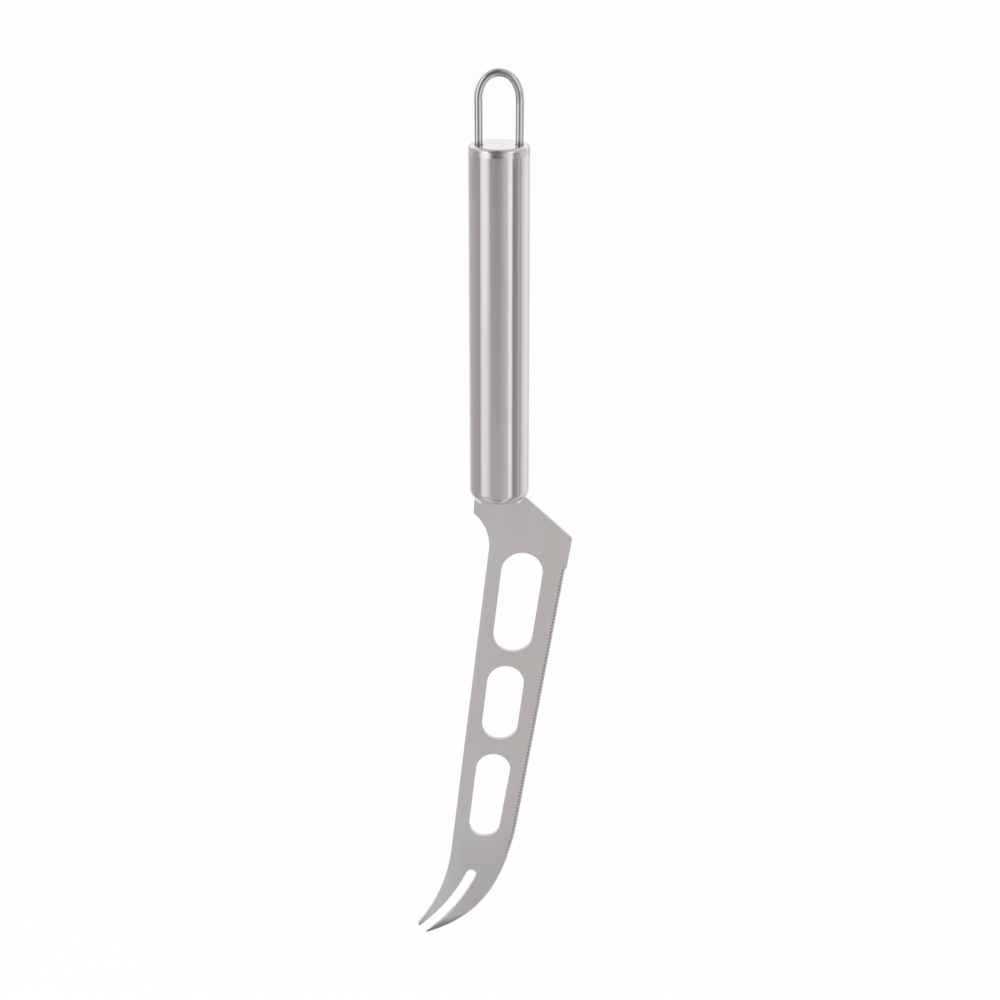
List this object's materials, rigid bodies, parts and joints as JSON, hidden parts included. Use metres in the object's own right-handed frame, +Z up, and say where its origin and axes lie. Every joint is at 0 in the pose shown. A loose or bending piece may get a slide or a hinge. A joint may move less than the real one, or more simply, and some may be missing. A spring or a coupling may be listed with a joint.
{
  "type": "cheese knife",
  "caption": "Stainless steel cheese knife with a tube handle, a wire hanging loop and a slotted, toothed blade with a forked tip.",
  "frame": {"origin": "inside top of the hanging loop's arch, where it bears on a hook, on the handle's axis and in the blade's middle plane", "axes": "+Z up along the handle's axis to the loop, +X to the toothed edge's side, +Y out of the blade's back face; the ground face of the teeth looks along -Y"},
  "size_m": [0.0486, 0.018, 0.2808],
  "materials": {
    "handle_steel": "satin, drawn stainless tube",
    "cap_steel": "fine satin, turned stainless",
    "wire_steel": "polished stainless wire",
    "blade_steel": "matte satin stainless sheet",
    "weld_steel": "weld metal, ground flush on the outside"
  },
  "bodies": {
    "root": {"handle_tube": "handle_steel", "blade_end_cap": "handle_steel", "loop_end_cap": "cap_steel", "hanging_loop": "wire_steel", "blade": "blade_steel", "tang_welds": "weld_steel", "loop_welds": "weld_steel", "loop_cap_seam": "weld_steel", "blade_cap_seam": "weld_steel"}
  },
  "joints": []
}
